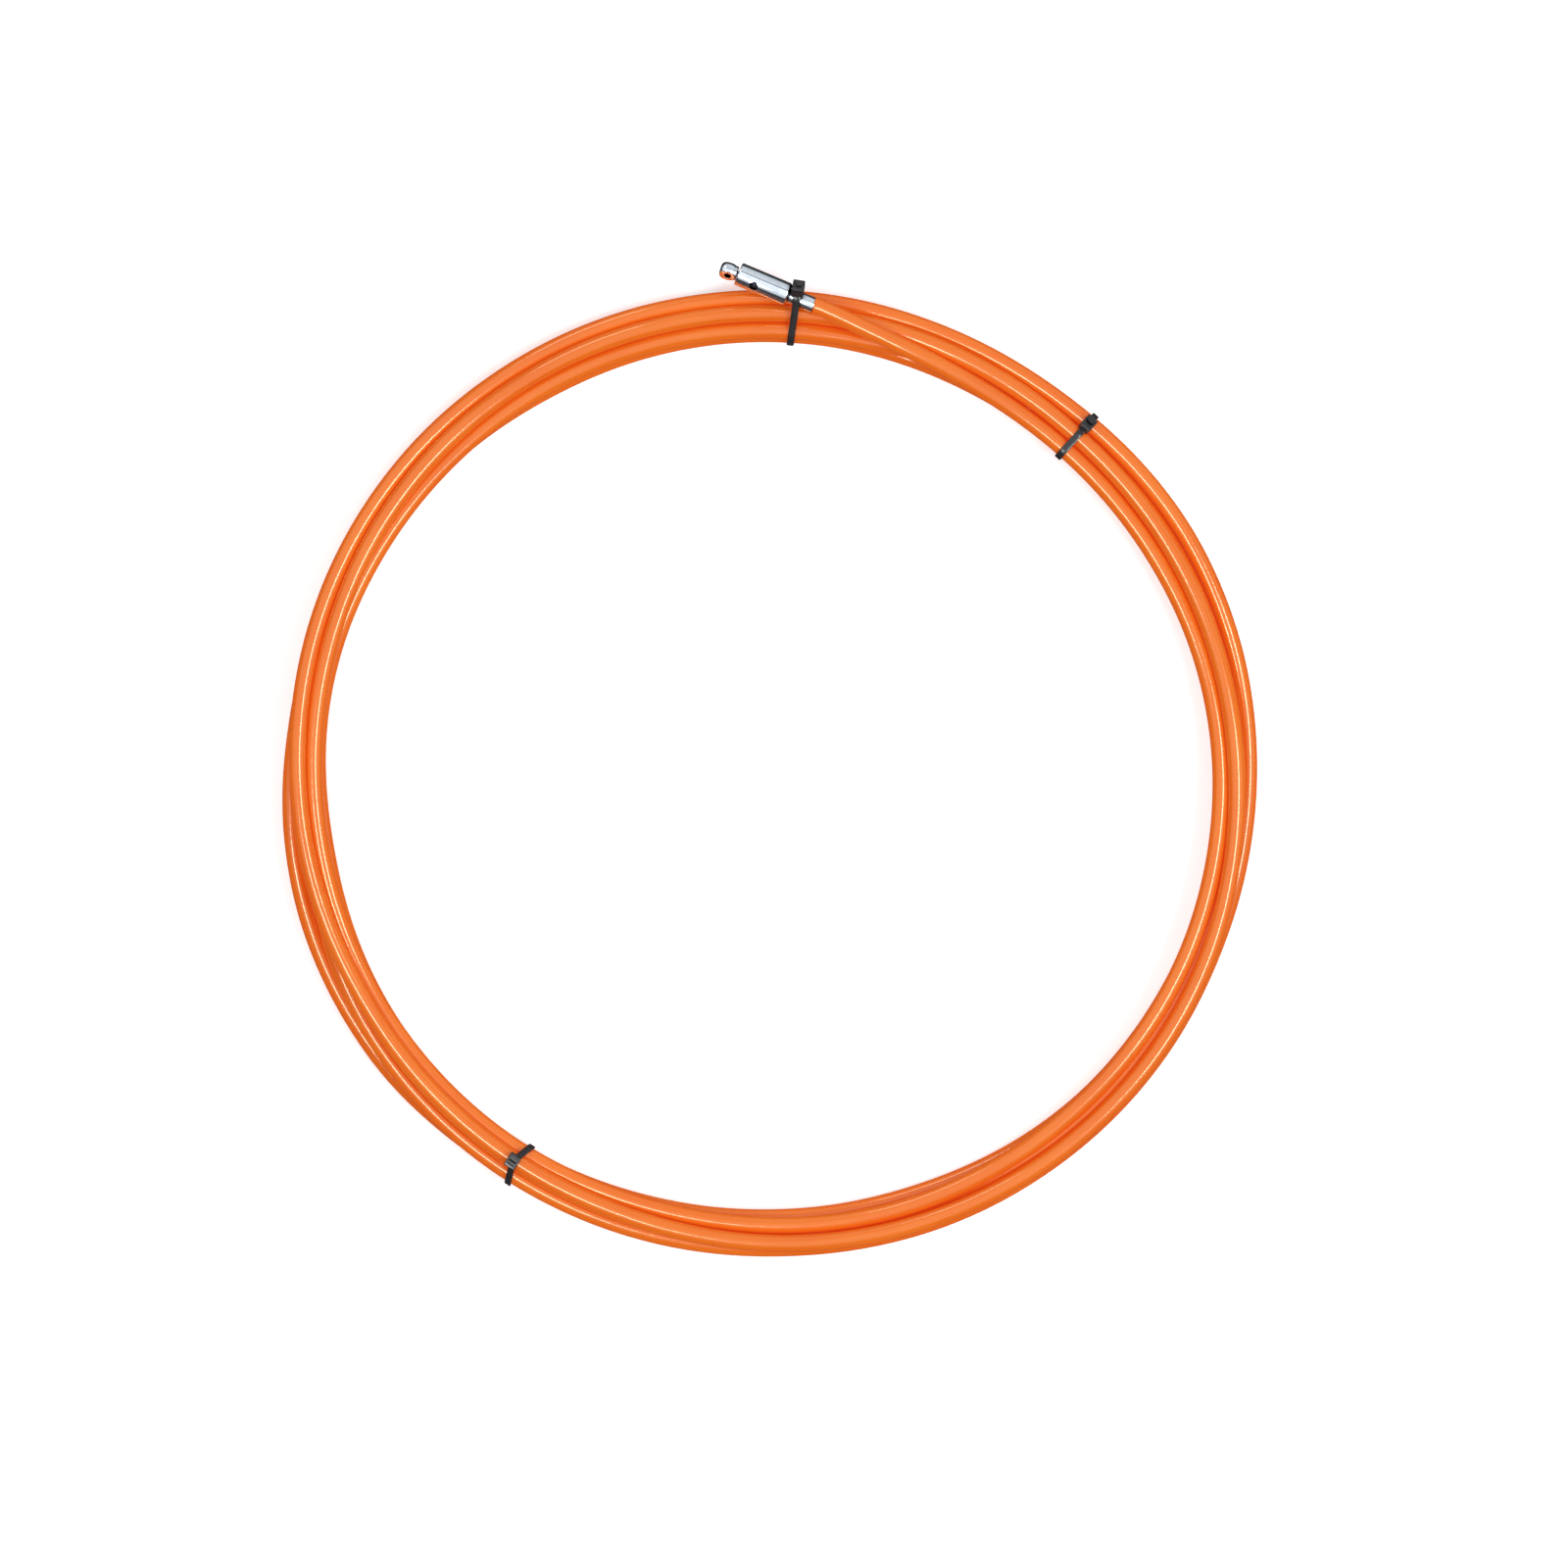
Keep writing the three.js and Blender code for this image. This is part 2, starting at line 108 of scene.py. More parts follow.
# Stretches, as [turn counted from 0, from, to], that lie under other turns and may shift to make room
BURIED = [(2, 252, 328), (3, 62, 140), (3, 224, 284), (4, 16, 216), (4, 276, 344)]
STATION_STEP = 2              # degrees
STATIONS_PER_TURN = 360 // STATION_STEP
FIRST_ANGLE = 6
LAST_ANGLE = 350
CLEAR = 6.01                  # millimetres kept between the turns' centrelines
CLEAR_AT_HEAD = 6.18          # and where the first turn crosses the others at a slant
STATIONS_AT_HEAD = 15
FIRM = 0.08                   # share of a sideways push that a turn in plain view gives way to
SIDE_PULL = 0.02              # share of the way back to its own place that a turn goes in a step
HEIGHT_PULL = 0.012
HOLD = 1.15                   # less a station's freedom, this weighs its pull sideways
LOOSENING_STEPS = 1200
STEPS_PER_EASING = 8
SETTLING_STEPS = 14
SETTLING_FREEDOM = 0.3        # at least this share of a sideways push counts as the turns settle
SETTLING_RISE = 0.6


def eased(values, reach):
    """A running average with a soft-edged window of that many stations each way."""
    window = np.hanning(2 * reach + 3)[1:-1]
    padded = np.pad(values, (reach, reach), mode="reflect", reflect_type="odd")
    return np.convolve(padded, window / window.sum(), mode="valid")


def push_apart(offset, height, need):
    """How far each station moves, sideways and up, to stand clear of the other turns at its angle."""
    sideways = np.zeros(len(offset))
    upward = np.zeros(len(offset))
    for gap in range(STATIONS_PER_TURN, len(offset), STATIONS_PER_TURN):
        across = offset[gap:] - offset[:-gap]
        rise = height[gap:] - height[:-gap]
        distance = np.hypot(across, rise)
        push = np.maximum(0, np.maximum(need[gap:], need[:-gap]) - distance) / 2
        out = push * across / distance
        up = push * rise / distance + 0.5 * np.where(rise >= 0, push, -push)
        sideways[gap:] += out
        sideways[:-gap] -= out
        upward[gap:] += up
        upward[:-gap] -= up
    return sideways, upward


def settle():
    """Angle, offset and height of the rod's centreline at each station, with its turns kept apart."""
    angle = np.arange(FIRST_ANGLE, 4 * 360 + LAST_ANGLE + 1, STATION_STEP, dtype=float)
    knots = [(turn * 360 + a, x, z) for turn, row in enumerate(TURNS) for a, x, z in row]
    at, offsets, heights = np.array(knots).T
    aim = eased(np.interp(angle, at, offsets), 3)
    aim_height = eased(np.interp(angle, at, heights), 5)
    free = np.full(len(angle), FIRM)
    for turn, start, end in BURIED:
        free[(angle >= turn * 360 + start) & (angle <= turn * 360 + end)] = 1
    free = eased(free, 5)
    free[:6] = 0
    need = np.full(len(angle), CLEAR)
    need[:STATIONS_AT_HEAD] = CLEAR_AT_HEAD
    offset, height = aim.copy(), aim_height.copy()
    for step in range(LOOSENING_STEPS):
        sideways, upward = push_apart(offset, height, need)
        offset = offset + sideways * free + (aim - offset) * SIDE_PULL * (HOLD - free)
        height = height + upward
        height += (aim_height - height) * HEIGHT_PULL
        if step % STEPS_PER_EASING == 0:
            offset = aim + eased(offset - aim, 4)
            height = aim_height + eased(height - aim_height, 4)
        height[:4] = aim_height[:4]
        offset[-5:] = aim[-5:]
        height[-5:] = 0
        height = np.maximum(height, 0)
    for _ in range(SETTLING_STEPS):
        sideways, upward = push_apart(offset, height, need)
        offset = aim + eased(offset + sideways * np.maximum(free, SETTLING_FREEDOM) - aim, 2)
        height = np.maximum(eased(height + SETTLING_RISE * upward, 1), 0)
    return angle, offset, height


def around_coil(angle, offset, height):
    """The point at that angle in degrees, offset and height in metres."""
    turn = math.radians(angle)
    radius = COIL_RADIUS + offset
    return COIL_CENTRE + Vector((radius * math.sin(turn), radius * math.cos(turn), height))


ANGLE, OFFSET, HEIGHT = settle()
OFFSET = OFFSET * MM
HEIGHT = HEIGHT * MM + LOWEST


def strands_at(angle):
    """[offset, height] of each turn of the rod that passes that angle."""
    found = []
    for turn in range(len(TURNS)):
        here = turn * 360 + angle
        if ANGLE[0] <= here <= ANGLE[-1]:
            offset = float(np.interp(here, ANGLE, OFFSET))
            height = float(np.interp(here, ANGLE, HEIGHT))
            found.append([offset, height])
    return found


# ---------------------------------------------------------------- mesh helpers

def grid_mesh(name, rings, closed_ends=True, loop=False, uv=None):
    """A tube through rings of points, each ring a closed list of the same length."""
    around = len(rings[0])
    count = len(rings)
    vertices = [point for ring in rings for point in ring]
    faces = []
    spans = count if loop else count - 1
    for i in range(spans):
        for k in range(around):
            a = i * around + k
            b = i * around + (k + 1) % around
            c = ((i + 1) % count) * around + (k + 1) % around
            d = ((i + 1) % count) * around + k
            faces.append((a, b, c, d))
    side_faces = len(faces)
    if closed_ends and not loop:
        faces.append(tuple(reversed(range(around))))
        faces.append(tuple((count - 1) * around + k for k in range(around)))
    mesh = bpy.data.meshes.new(name)
    mesh.from_pydata(vertices, [], faces)
    if uv is not None:
        along, girth = uv
        layer = mesh.uv_layers.new(name="surface")
        values = np.zeros((len(mesh.loops), 2))
        for face in range(side_faces):
            i, k = divmod(face, around)
            corners = [(i, k), (i, k + 1), (i + 1, k + 1), (i + 1, k)]
            for j, (row, column) in enumerate(corners):
                values[face * 4 + j] = (along[row], girth * column / around)
        layer.data.foreach_set("uv", values.ravel())
    mesh.validate()
    mesh.update()
    return mesh


def face_outwards(mesh):
    shell = bmesh.new()
    shell.from_mesh(mesh)
    bmesh.ops.recalc_face_normals(shell, faces=shell.faces)
    shell.to_mesh(mesh)
    shell.free()


def smooth(piece, angle=35):
    piece.data.shade_smooth()
    piece.data.set_sharp_from_angle(angle=math.radians(angle))


def apply_modifiers(piece):
    depsgraph = bpy.context.evaluated_depsgraph_get()
    final = bpy.data.meshes.new_from_object(piece.evaluated_get(depsgraph))
    piece.modifiers.clear()
    piece.data = final


def bevel(piece, width, segments=3, angle=30):
    modifier = piece.modifiers.new("bevel", "BEVEL")
    modifier.width = width
    modifier.segments = segments
    modifier.limit_method = "ANGLE"
    modifier.angle_limit = math.radians(angle)
    modifier.harden_normals = False
    apply_modifiers(piece)


def cut(piece, tool):
    modifier = piece.modifiers.new("cut", "BOOLEAN")
    modifier.operation = "DIFFERENCE"
    modifier.solver = "EXACT"
    modifier.object = tool
    apply_modifiers(piece)
    bpy.data.objects.remove(tool)


def join(piece, other):
    modifier = piece.modifiers.new("join", "BOOLEAN")
    modifier.operation = "UNION"
    modifier.solver = "EXACT"
    modifier.object = other
    apply_modifiers(piece)
    bpy.data.objects.remove(other)


def link(name, mesh, matrix=None):
    piece = bpy.data.objects.new(name, mesh)
    bpy.context.scene.collection.objects.link(piece)
    if matrix is not None:
        piece.matrix_world = matrix
    bpy.context.view_layer.update()
    return piece


def lathe_mesh(name, profile, segments=96):
    """A turned solid about Z from a closed or axis-to-axis profile of (radius, z)."""
    rings = []
    on_axis = profile[0][0] == 0 and profile[-1][0] == 0
    points = profile[1:-1] if on_axis else profile
    turns = [2 * math.pi * k / segments for k in range(segments)]
    for radius, z in points:
        rings.append([(radius * math.cos(turn), radius * math.sin(turn), z) for turn in turns])
    mesh = grid_mesh(name, rings, closed_ends=on_axis, loop=not on_axis)
    face_outwards(mesh)
    return mesh


def bar(name, radius, length, matrix, segments=64):
    half = length / 2
    profile = [(0, -half), (radius, -half), (radius, half), (0, half)]
    return link(name, lathe_mesh(name, profile, segments), matrix)


def box_mesh(name, size, centre=(0, 0, 0)):
    maker = bmesh.new()
    bmesh.ops.create_cube(maker, size=1)
    bmesh.ops.scale(maker, vec=size, verts=maker.verts)
    bmesh.ops.translate(maker, vec=centre, verts=maker.verts)
    mesh = bpy.data.meshes.new(name)
    maker.to_mesh(mesh)
    maker.free()
    return mesh


# ---------------------------------------------------------------- materials

class Nodes:
    """Short hand for building one material's nodes."""

    def __init__(self, name):
        self.material = bpy.data.materials.new(name)
        self.material.use_nodes = True
        self.tree = self.material.node_tree
        self.shader = self.tree.nodes["Principled BSDF"]

    def add(self, kind, settings=None, **inputs):
        node = self.tree.nodes.new(kind)
        for key, value in (settings or {}).items():
            setattr(node, key, value)
        for key, value in inputs.items():
            self.set(node, key.replace("_", " "), value)
        return node

    def set(self, node, socket, value):
        if isinstance(value, bpy.types.NodeSocket):
            self.tree.links.new(value, node.inputs[socket])
        else:
            node.inputs[socket].default_value = value

    def ramp(self, value, stops):
        node = self.add("ShaderNodeValToRGB")
        self.tree.links.new(value, node.inputs["Fac"])
        elements = node.color_ramp.elements
        while len(elements) < len(stops):
            elements.new(0.5)
        for element, (position, colour) in zip(elements, stops):
            element.position = position
            element.color = (*colour, 1) if len(colour) == 3 else colour
        return node.outputs["Color"]

    def bump(self, height, distance, strength=1.0, normal=None):
        node = self.add("ShaderNodeBump", Strength=strength, Distance=distance, Height=height)
        if normal is not None:
            self.tree.links.new(normal, node.inputs["Normal"])
        return node.outputs["Normal"]

    def noise(self, vector, scale, detail=3, rough=0.5):
        node = self.add("ShaderNodeTexNoise", Vector=vector, Scale=scale, Detail=detail, Roughness=rough)
        return node.outputs["Fac"]

    def scaled(self, vector, scale):
        node = self.add("ShaderNodeMapping", Vector=vector)
        node.inputs["Scale"].default_value = scale
        return node.outputs["Vector"]

    def map_range(self, value, low, high):
        node = self.add("ShaderNodeMapRange", Value=value)
        node.inputs["To Min"].default_value = low
        node.inputs["To Max"].default_value = high
        return node.outputs["Result"]

    def object_coordinates(self):
        return self.add("ShaderNodeTexCoord").outputs["Object"]


def jacket_material():
    """Glossy extruded orange plastic, with faint rings from the winding under it.

    A little red-orange emission is painted light: the rod glows faintly, which lifts the orange and turns
    the shade in the grooves between turns red, as bounced light would.
    """
    made = Nodes("orange_jacket")
    surface = made.add("ShaderNodeUVMap", {"uv_map": "surface"}).outputs["UV"]
    place = made.object_coordinates()
    patches = made.noise(made.scaled(surface, (22, 60, 1)), 1, 2)
    oranges = [(0.3, (0.46, 0.110, 0.005)), (0.5, (0.48, 0.126, 0.006)), (0.72, (0.50, 0.145, 0.009))]
    made.set(made.shader, "Base Color", made.ramp(patches, oranges))
    haze = made.noise(place, 180, 4, 0.6)
    made.set(made.shader, "Roughness", made.map_range(haze, 0.08, 0.18))
    made.set(made.shader, "IOR", 1.5)
    made.set(made.shader, "Specular IOR Level", 1.0)
    made.set(made.shader, "Specular Tint", (1.0, 0.87, 0.60, 1))
    # painted light: a faint red-orange glow that fills the shade in the grooves
    made.set(made.shader, "Emission Color", (1.0, 0.055, 0.01, 1))
    made.set(made.shader, "Emission Strength", 0.28)
    made.set(made.shader, "Subsurface Weight", 0.12)
    made.set(made.shader, "Subsurface Radius", (1.0, 0.25, 0.08))
    made.set(made.shader, "Subsurface Scale", 0.002)
    rings = made.noise(made.scaled(surface, (800, 40, 1)), 1, 2, 0.5)
    swell = made.noise(made.scaled(surface, (60, 60, 1)), 1, 1)
    normal = made.bump(rings, 0.00002)
    made.set(made.shader, "Normal", made.bump(swell, 0.00008, normal=normal))
    return made.material


def fibre_material():
    """Bared glass fibre, with fine lengthwise strands in the resin."""
    made = Nodes("glass_fibre")
    place = made.object_coordinates()
    strands = made.noise(made.scaled(place, (6000, 6000, 200)), 1, 3)
    yellows = [(0.3, (0.6, 0.52, 0.26)), (0.7, (0.78, 0.7, 0.42))]
    made.set(made.shader, "Base Color", made.ramp(strands, yellows))
    made.set(made.shader, "Roughness", 0.55)
    made.set(made.shader, "Normal", made.bump(strands, 0.00003))
    return made.material


def plated_material():
    """Bright nickel plating over turned metal: tool rings and small rubs, with painted shade darkening the
    hollows, the holes and where the metal meets the strands and straps.
    """
    made = Nodes("plated_metal")
    place = made.object_coordinates()
    tool = made.noise(made.scaled(place, (15, 15, 5200)), 1, 2)
    rubs = made.noise(place, 420, 5, 0.65)
    plating = made.ramp(rubs, [(0.35, (0.84, 0.87, 0.92)), (0.6, (0.95, 0.97, 1.0))])
    # painted shade: ambient occlusion darkens the plating to near black in holes, hollows and at contacts
    shade_occlusion = made.add("ShaderNodeAmbientOcclusion", {"samples": 8}, Color=(1, 1, 1, 1), Distance=0.004)
    unshaded_share = made.ramp(shade_occlusion.outputs["AO"], [(0.5, (0, 0, 0)), (0.82, (1, 1, 1))])
    painted_shade = made.add("ShaderNodeMix", {"data_type": "RGBA"})
    made.tree.links.new(unshaded_share, painted_shade.inputs[0])
    painted_shade.inputs[6].default_value = (0.02, 0.022, 0.026, 1)
    made.tree.links.new(plating, painted_shade.inputs[7])
    made.set(made.shader, "Base Color", painted_shade.outputs[2])
    made.set(made.shader, "Metallic", 1.0)
    made.set(made.shader, "Roughness", made.map_range(rubs, 0.05, 0.14))
    normal = made.bump(tool, 0.0000008)
    made.set(made.shader, "Normal", made.bump(rubs, 0.0000006, normal=normal))
    return made.material


def washer_material():
    """Plain turned steel."""
    made = Nodes("washer_steel")
    place = made.object_coordinates()
    grain = made.noise(made.scaled(place, (40, 40, 6000)), 1, 2)
    greys = [(0.3, (0.42, 0.43, 0.45)), (0.7, (0.58, 0.59, 0.61))]
    made.set(made.shader, "Base Color", made.ramp(grain, greys))
    made.set(made.shader, "Metallic", 1.0)
    made.set(made.shader, "Roughness", 0.36)
    made.set(made.shader, "Normal", made.bump(grain, 0.00001))
    return made.material


def nylon_material():
    """Moulded black nylon, glossy on the strap with a faint orange-peel."""
    made = Nodes("black_nylon")
    place = made.object_coordinates()
    peel = made.noise(place, 900, 3)
    cloud = made.noise(place, 160, 3)
    blacks = [(0.3, (0.016, 0.014, 0.015)), (0.7, (0.026, 0.023, 0.024))]
    made.set(made.shader, "Base Color", made.ramp(cloud, blacks))
    made.set(made.shader, "Roughness", made.map_range(cloud, 0.14, 0.3))
    made.set(made.shader, "IOR", 1.53)
    made.set(made.shader, "Normal", made.bump(peel, 0.00002))
    return made.material


MATERIALS = {
    "orange_jacket": jacket_material(),
    "glass_fibre": fibre_material(),
    "plated_metal": plated_material(),
    "washer_steel": washer_material(),
    "black_nylon": nylon_material(),
}


def finish_piece(piece, slot, body, *nodes):
    """Gives a piece its material and its body, and hides the CAD nodes that it stands for."""
    piece.data.materials.clear()
    piece.data.materials.append(MATERIALS[slot])
    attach(piece, body)
    if nodes:
        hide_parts(*nodes)
    return piece


# ---------------------------------------------------------------- rod

ROD_SIDES = 24


def rod_path():
    """Points of the rod's centreline, 1 degree apart, from the ferrule to the end cap."""
    angles = np.arange(FIRST_ANGLE, ANGLE[-1] + 0.5, 1.0)
    smooth_offset = np.interp(angles, ANGLE, OFFSET)
    smooth_height = np.interp(angles, ANGLE, HEIGHT)
    smooth_offset = eased(smooth_offset, 1)
    smooth_height = eased(smooth_height, 1)
    points = [around_coil(a, x, z) for a, x, z in zip(angles, smooth_offset, smooth_height)]
    return [FERRULE_END.copy()] + points


def sweep(path, section, name, uv_girth=None):
    """A section of (sideways, upward) points carried along a path, kept upright."""
    rings = []
    along = [0.0]
    for i, point in enumerate(path):
        ahead = path[min(i + 1, len(path) - 1)] - path[max(i - 1, 0)]
        side = ahead.cross(Vector((0, 0, 1))).normalized()
        up = side.cross(ahead).normalized()
        rings.append([point + side * x + up * y for x, y in section])
        if i:
            along.append(along[-1] + (point - path[i - 1]).length)
    uv = (along, uv_girth) if uv_girth else None
    return grid_mesh(name, rings, uv=uv)


def make_rod():
    path = rod_path()
    radius = ROD_DIAMETER / 2
    turns = [-2 * math.pi * k / ROD_SIDES for k in range(ROD_SIDES)]
    section = [(radius * math.cos(turn), radius * math.sin(turn)) for turn in turns]
    mesh = sweep(path, section, "rod_jacket", uv_girth=math.pi * ROD_DIAMETER)
    rod = link("rod_jacket", mesh)
    smooth(rod, 60)
    finish_piece(rod, "orange_jacket", "coil", "rod_coil", "rod_lead")
    return rod, path


rod, rod_points = make_rod()

# ---------------------------------------------------------------- end cap

CAP_OFFSET = 4 * MM           # where the last turn ends, out from COIL_RADIUS


def frame_matrix(origin, forward, up=Vector((0, 0, 1))):
    """A matrix whose Z axis is forward and whose Y axis leans towards up."""
    z = forward.normalized()
    x = up.cross(z).normalized()
    y = z.cross(x)
    return Matrix.Translation(origin) @ Matrix((x, y, z)).transposed().to_4x4()


def make_end_cap():
    """A closed metal cap that continues the rod's last turn."""
    length = 12 * MM
    radius = ROD_DIAMETER / 2 - 0.1 * MM
    bore = 2.15 * MM
    depth = 10 * MM
    profile = [(0, depth), (bore, depth), (bore, 0), (radius - 0.2 * MM, 0), (radius, 0.2 * MM),
               (radius, 3 * MM), (radius - 0.15 * MM, 3.2 * MM), (radius - 0.15 * MM, 3.8 * MM),
               (radius, 4 * MM), (radius, length - 0.9 * MM), (radius - 0.25 * MM, length - 0.3 * MM),
               (radius - 0.8 * MM, length), (0, length)]
    turn = math.radians(LAST_ANGLE)
    clockwise = Vector((math.cos(turn), -math.sin(turn), 0))
    origin = around_coil(LAST_ANGLE, CAP_OFFSET, LOWEST)
    cap = link("end_cap_turned", lathe_mesh("end_cap_turned", profile), frame_matrix(origin, clockwise))
    smooth(cap)
    return finish_piece(cap, "plated_metal", "coil", "end_cap")


end_cap = make_end_cap()

# ---------------------------------------------------------------- pulling head

# Local frame: Z points out of the head's front, and the ferrule's back end is at the origin
HEAD_FRAME = frame_matrix(FERRULE_END, HEAD_AXIS)
EYE_ROLL = 55
EYE_DROOP = -6                # degrees out of line, as the eye hangs a little loose in its bearing
EYE_THICKNESS = 4.2 * MM
EYE_HOLE_RADIUS = 1.25 * MM
BEARING = 8                   # the bearing's middle, in millimetres behind the eye's front
CROSS_HOLE_RADIUS = 1.55 * MM
CROSS_HOLE_PLACE = 13.1
HOLE_ROLL = 30
CUTTER_LENGTH = 12 * MM


def back(distance):
    """Height in the head's frame of a point that many millimetres behind the eye's front."""
    return HEAD_LENGTH - distance * MM


def mm_profile(points):
    return [(radius * MM, back(distance)) for radius, distance in points]


def across_head(distance, roll):
    """A matrix whose Z axis crosses the head's axis there, leaning by roll degrees from straight up."""
    lean = math.radians(roll)
    direction = Vector((math.sin(lean), math.cos(lean), 0))
    along = Vector((0, 0, 1))
    side = along.cross(direction)
    local = Matrix((side, along, direction)).transposed().to_4x4()
    return HEAD_FRAME @ Matrix.Translation((0, 0, back(distance))) @ local


def make_barrel():
    profile = mm_profile([
        (1.4, 6.5), (3.6, 6.5), (3.85, 6.58), (4.02, 6.78), (4.1, 7.05), (4.1, 24.75), (4.02, 25.0),
        (3.45, 25.52), (3.2, 25.6), (2.6, 25.6), (2.6, 8.7), (1.4, 8.7),
    ])
    barrel = link("coupling_barrel_turned", lathe_mesh("coupling_barrel_turned", profile, 128), HEAD_FRAME)
    cut(barrel, bar("cutter", CROSS_HOLE_RADIUS, CUTTER_LENGTH, across_head(CROSS_HOLE_PLACE, HOLE_ROLL)))
    smooth(barrel, 32)
    return finish_piece(barrel, "plated_metal", "coil", "coupling_barrel")


def make_ferrule():
    profile = mm_profile([
        (0, 17.4), (1.9, 17.4), (2.3, 17.8), (2.3, 25.9), (2.5, 25.9), (2.68, 25.98), (2.75, 26.2),
        (2.75, 34.7), (2.68, 34.95), (2.45, 35.1), (2.15, 35.1), (2.15, 26.7), (0, 26.7),
    ])
    ferrule = link("crimp_ferrule_turned", lathe_mesh("crimp_ferrule_turned", profile, 128), HEAD_FRAME)
    smooth(ferrule, 32)
    return finish_piece(ferrule, "plated_metal", "coil", "crimp_ferrule")


def make_eye():
    middle = 3.15
    # a turned blank, with its blunt nose, neck and shank, then two flats and the hole
    profile = [
        (0, 0), (1.3, 0.03), (2.0, 0.22), (2.5, 0.6), (2.85, 1.15), (3.08, 1.9), (3.16, 2.7), (3.14, 3.5),
        (3.02, 4.2), (2.82, 4.8), (2.62, 5.2), (2.55, 5.5), (2.58, 5.8), (2.5, 6.05), (2.3, 6.2), (1.0, 6.2),
        (1.0, 10.9), (0, 10.9)]
    eye = link("swivel_eye_turned", lathe_mesh("swivel_eye_turned", mm_profile(profile), 96), HEAD_FRAME)
    matrix = across_head(middle, EYE_ROLL)
    cutter = (CUTTER_LENGTH, 8.4 * MM, 4 * MM)
    for side in (-1, 1):
        flat = box_mesh("cutter", cutter, (0, 1.2 * MM, side * (EYE_THICKNESS / 2 + cutter[2] / 2)))
        cut(eye, link("cutter", flat, matrix))
    cut(eye, bar("cutter", EYE_HOLE_RADIUS, CUTTER_LENGTH, matrix))
    bevel(eye, 0.28 * MM, segments=4, angle=38)
    smooth(eye, 40)
    pivot = Matrix.Translation(HEAD_FRAME @ Vector((0, 0, back(BEARING))))
    droop = pivot @ Matrix.Rotation(math.radians(-EYE_DROOP), 4, "Z") @ pivot.inverted()
    eye.matrix_world = droop @ eye.matrix_world
    return finish_piece(eye, "plated_metal", "swivel", "swivel_eye")


def make_discs():
    """The washer and the collar of the swivel, inside the barrel."""
    edge = 0.12
    for node, body, radius, front, thickness in (
        ("thrust_washer", "coil", 2.2, 9.0, 0.5), ("retaining_collar", "swivel", 2.1, 9.8, 1.0),
    ):
        profile = mm_profile([
            (1.4, front), (radius - edge, front), (radius, front + edge), (radius, front + thickness - edge),
            (radius - edge, front + thickness), (1.4, front + thickness)])
        disc = link(node + "_turned", lathe_mesh(node, profile, 64), HEAD_FRAME)
        smooth(disc)
        finish_piece(disc, "washer_steel", body, node)


make_barrel()
make_ferrule()
make_eye()
make_discs()

for node in ("rod_core_head_end", "rod_core_far_end"):
    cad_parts[node].data.materials.clear()
    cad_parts[node].data.materials.append(MATERIALS["glass_fibre"])

# ---------------------------------------------------------------- cable ties

STRAP_WIDTH = 2.5 * MM
STRAP_THICKNESS = 0.9 * MM
STRAP_CLEARANCE = 0.1 * MM
STRAP_FLOOR = 0.4 * MM        # the straps' undersides are that much thicker, and bear on the floor
TOOTH = 0.5 * MM              # spacing of the strap's teeth, and of the points round it
TOOTH_DEPTH = 0.16 * MM
CIRCLE_SIDES = 72
FERRULE_IN_TIE = 5.9 * MM     # the first tie goes round the ferrule too, that far out
TIE_HEAD = (5.4 * MM, 3.4 * MM, 4.4 * MM)      # along the strap, up, and across it
TIE_HEAD_LIFT = 0.05 * MM
TIE_HEAD_TAPER = (0.94, 0.95)
TIE_HEAD_ROUNDING = 0.35 * MM
SLOT = (1.75 * MM, 4 * MM, 2.9 * MM)
PAWL_WINDOW = (1.2 * MM, 2 * MM, 2.0 * MM)
PAWL_PLACE = -0.7 * MM
TAIL_PLACE = 0.6 * MM
TAIL_HALF = 0.5 * MM
TAIL_BOTTOM = 1.2 * MM
TAIL_LENGTH = 2.9 * MM
TAIL_STEPS = 10
TIES = [
    {"angle": 3.35, "skew": 5, "head_at": 48, "bow": 0},
    {"angle": 42.3, "skew": 0, "head_at": 36, "bow": 0},
    {"angle": 213.5, "skew": 0, "head_at": 90, "bow": 0.35},
]


def hull_of_circles(circles, grow):
    """The convex outline round circles of (x, y, radius), each grown by that much."""
    points = []
    for x, y, radius in circles:
        for i in range(CIRCLE_SIDES):
            turn = 2 * math.pi * i / CIRCLE_SIDES
            points.append((x + (radius + grow) * math.cos(turn), y + (radius + grow) * math.sin(turn)))
    points.sort()

    def half(ordered):
        kept = []
        for point in ordered:
            while len(kept) > 1:
                (ox, oy), (ax, ay) = kept[-2], kept[-1]
                if (ax - ox) * (point[1] - oy) - (ay - oy) * (point[0] - ox) > 0:
                    break
                kept.pop()
            kept.append(point)
        return kept[:-1]

    return [Vector((x, y)) for x, y in half(points) + half(points[::-1])]


def resample(outline, spacing):
    """Even points round a closed outline, with their outward normals."""
    closed = outline + [outline[0]]
    lengths = [0.0]
    for a, b in zip(closed, closed[1:]):
        lengths.append(lengths[-1] + (b - a).length)
    count = max(24, round(lengths[-1] / spacing))
    at = np.linspace(0, lengths[-1], count, endpoint=False)
    x = np.interp(at, lengths, [p.x for p in closed])
    y = np.interp(at, lengths, [p.y for p in closed])
    points = [Vector((a, b)) for a, b in zip(x, y)]
    normals = []
    for i in range(count):
        run = points[(i + 1) % count] - points[i - 1]
        normals.append(Vector((run.y, -run.x)).normalized())
    return points, normals


